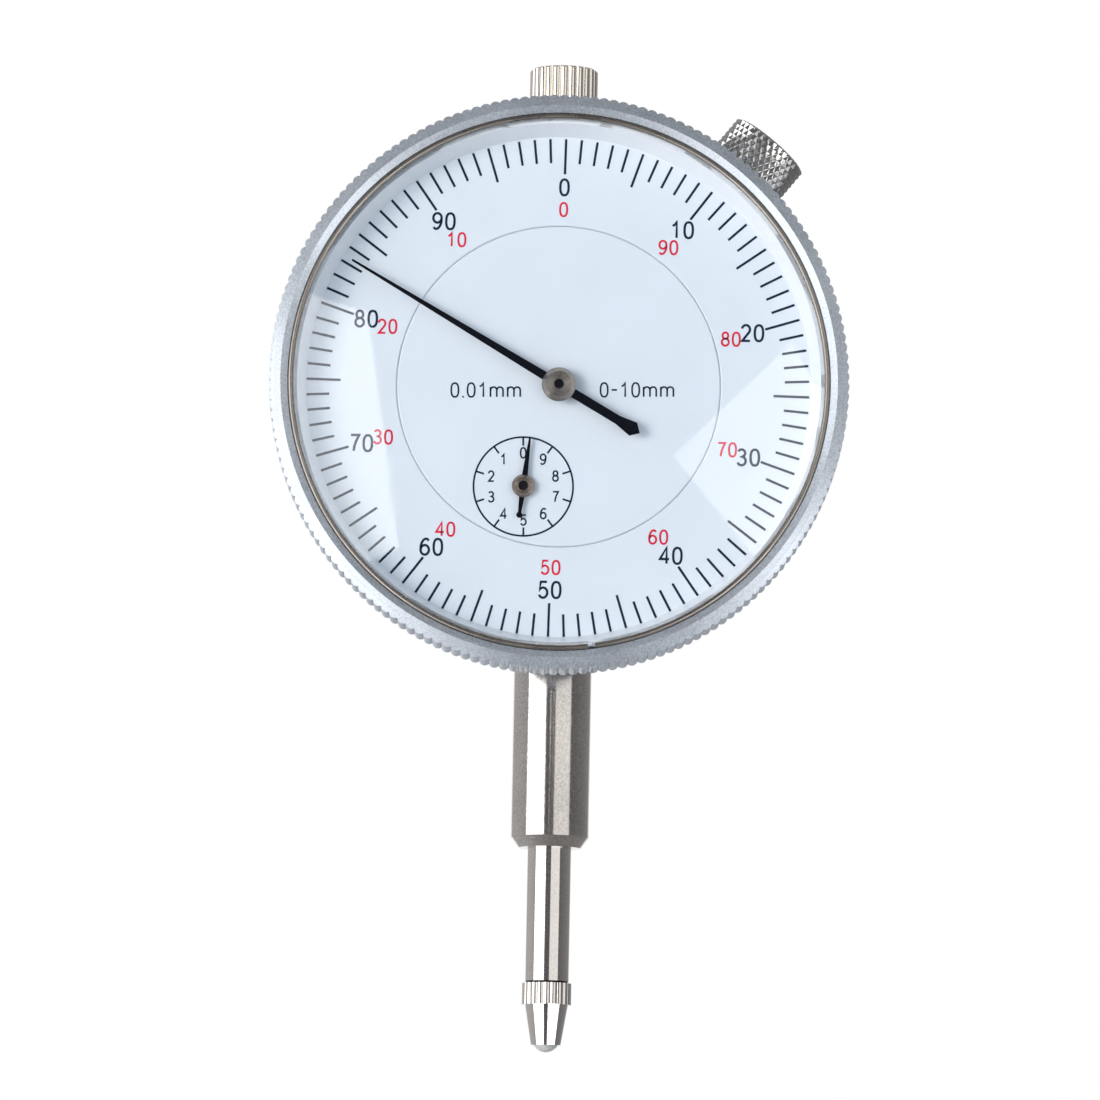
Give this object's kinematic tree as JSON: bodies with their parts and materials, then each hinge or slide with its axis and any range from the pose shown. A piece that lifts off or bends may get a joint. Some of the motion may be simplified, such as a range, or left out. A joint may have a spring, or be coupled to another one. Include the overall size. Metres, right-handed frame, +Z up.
{
  "type": "dial indicator",
  "caption": "Plunger dial indicator: a rack and gear train turns its pointers as the sprung spindle slides, with a rotating bezel and dial, a bezel clamp, a clamping stem and a rear lug.",
  "frame": {"origin": "on the spindle's axis, halfway along the 17.7 mm of plain stem that a holder clamps", "axes": "+Z runs up the spindle towards the dial's middle (36.65 mm up) and the dust cap, the dial faces -Y, and +X is to the right of someone reading it"},
  "size_m": [0.059, 0.0353, 0.1016],
  "materials": {
    "case_satin": "satin, fine turned",
    "bezel_satin": "satin anodised, straight knurl",
    "steel": "ground",
    "screw_steel": "turned",
    "polished_steel": "polished",
    "nickel": "bright nickel plate",
    "dark_nickel": "dark nickel plate, diamond knurl",
    "wire": "drawn wire, darkened",
    "spring_steel": "drawn wire",
    "brass": "fine brushed",
    "dial_enamel": "matt white enamel with printed scale",
    "spacer_white": "moulded",
    "crystal_clear": "clear, polished",
    "pointer_black": "semi-matt black"
  },
  "bodies": {
    "case": {"case_body": "case_satin", "back_cover": "case_satin", "back_cover_screws": "screw_steel", "stem": "steel", "upper_bush": "steel", "dust_cap": "nickel", "base_plate": "brass", "base_plate_screws": "screw_steel", "plate_pillars": "steel", "front_plate": "brass", "front_plate_screws": "screw_steel", "bridge_posts": "steel", "bridge_screws": "screw_steel", "guide_plate": "brass", "pinion_cock": "brass", "spring_anchor": "steel", "return_spring": "spring_steel", "hairspring": "spring_steel", "hairspring_stud": "steel", "inner_dial": "dial_enamel", "bezel_spring_wire": "wire"},
    "bezel": {"bezel": "bezel_satin", "outer_dial": "dial_enamel", "spacer_ring": "spacer_white", "crystal": "crystal_clear", "crystal_retaining_wire": "wire"},
    "spindle": {"spindle": "polished_steel", "guide_pin": "steel", "contact_point": "polished_steel", "contact_ball": "polished_steel"},
    "rack_arbor": {"rack_pinion_arbor": "steel", "drive_gear": "brass", "rev_pointer": "pointer_black", "rev_pointer_hub": "steel"},
    "centre_arbor": {"centre_pinion_arbor": "steel", "main_pointer": "pointer_black", "main_pointer_hub": "steel"},
    "takeup_arbor": {"takeup_arbor": "steel", "takeup_gear": "brass", "hairspring_collet": "brass"},
    "clamp_shoe": {"clamp_shoe": "steel"},
    "clamp_screw": {"clamp_screw": "dark_nickel"}
  },
  "joints": [
    {"name": "spindle_slide", "type": "slide", "parent": "case", "child": "spindle", "axis": [0, 0, 1], "range_m": [0, 0.0105], "stiffness_N_per_m": 40, "springref_m": -0.022, "deforming": ["return_spring"]},
    {"name": "rack_arbor_turn", "type": "hinge", "parent": "case", "child": "rack_arbor", "pos_m": [-0.00342, 0, 0.02626], "axis": [0, 1, 0], "range_deg": [-380, 2]},
    {"name": "centre_arbor_turn", "type": "hinge", "parent": "case", "child": "centre_arbor", "pos_m": [0, 0, 0.03665], "axis": [0, 1, 0], "range_deg": [-10, 3790]},
    {"name": "takeup_arbor_turn", "type": "hinge", "parent": "case", "child": "takeup_arbor", "pos_m": [0.00342, 0, 0.04704], "axis": [0, 1, 0], "range_deg": [-380, 2]},
    {"name": "bezel_turn", "type": "hinge", "parent": "case", "child": "bezel", "pos_m": [0, 0, 0.03665], "axis": [0, 1, 0], "continuous": true},
    {"name": "clamp_shoe_slide", "type": "slide", "parent": "case", "child": "clamp_shoe", "axis": [0.6293, 0, 0.7771], "range_m": [0, 0.0005]},
    {"name": "clamp_screw_turn", "type": "hinge", "parent": "clamp_shoe", "child": "clamp_screw", "pos_m": [0.01888, -0.002, 0.05996], "axis": [0.6293, 0, 0.7771], "range_deg": [0, 360]}
  ],
  "couplings": [
    {"joint": "rack_arbor_turn", "follows": "spindle_slide", "rad_per_m": -628.32},
    {"joint": "centre_arbor_turn", "follows": "spindle_slide", "rad_per_m": 6283.2},
    {"joint": "takeup_arbor_turn", "follows": "spindle_slide", "rad_per_m": -628.32},
    {"joint": "clamp_screw_turn", "follows": "clamp_shoe_slide", "rad_per_m": 12566}
  ]
}
